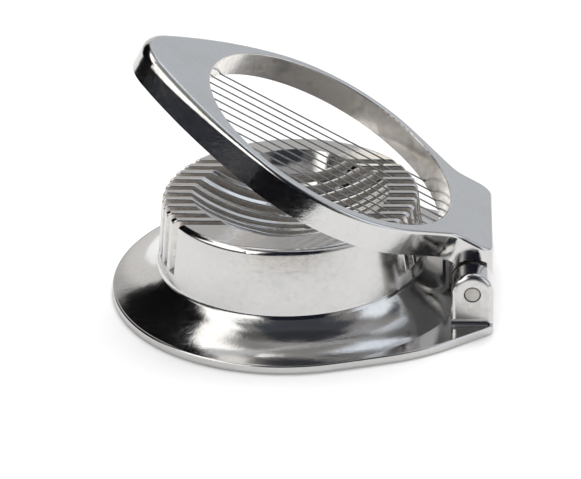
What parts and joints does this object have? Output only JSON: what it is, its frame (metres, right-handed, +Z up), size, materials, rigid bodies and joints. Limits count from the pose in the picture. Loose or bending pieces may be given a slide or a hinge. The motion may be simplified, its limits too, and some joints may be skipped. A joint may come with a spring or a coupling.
{
  "type": "egg slicer",
  "caption": "Round cast egg slicer: a slotted drum with an egg hollow on a flared base, and a hinged ring strung with wires that swings down over it.",
  "frame": {"origin": "middle of the base's footprint, on the surface it stands on", "axes": "+X from the handle tip to the hinge, +Y across the wires along the hinge axis, +Z up"},
  "size_m": [0.1206, 0.115, 0.0822],
  "materials": {
    "cast_aluminium": "polished casting",
    "pin_metal": "satin",
    "wire_steel": "drawn stainless wire",
    "plug_brass": "tarnished"
  },
  "bodies": {
    "base": {"base_casting": "cast_aluminium", "hinge_pin_front": "pin_metal", "hinge_pin_rear": "pin_metal"},
    "frame": {"wire_frame": "cast_aluminium", "wire_plugs_tip": "plug_brass", "wire_plugs_hinge": "plug_brass", "slicing_wire_01": "wire_steel", "slicing_wire_02": "wire_steel", "slicing_wire_03": "wire_steel", "slicing_wire_04": "wire_steel", "slicing_wire_05": "wire_steel", "slicing_wire_06": "wire_steel", "slicing_wire_07": "wire_steel", "slicing_wire_08": "wire_steel", "slicing_wire_09": "wire_steel", "slicing_wire_10": "wire_steel"}
  },
  "joints": [
    {"name": "frame_hinge", "type": "hinge", "parent": "base", "child": "frame", "pos_m": [0.0539, 0, 0.01285], "axis": [0, 1, 0], "range_deg": [-30.2, 80]}
  ]
}
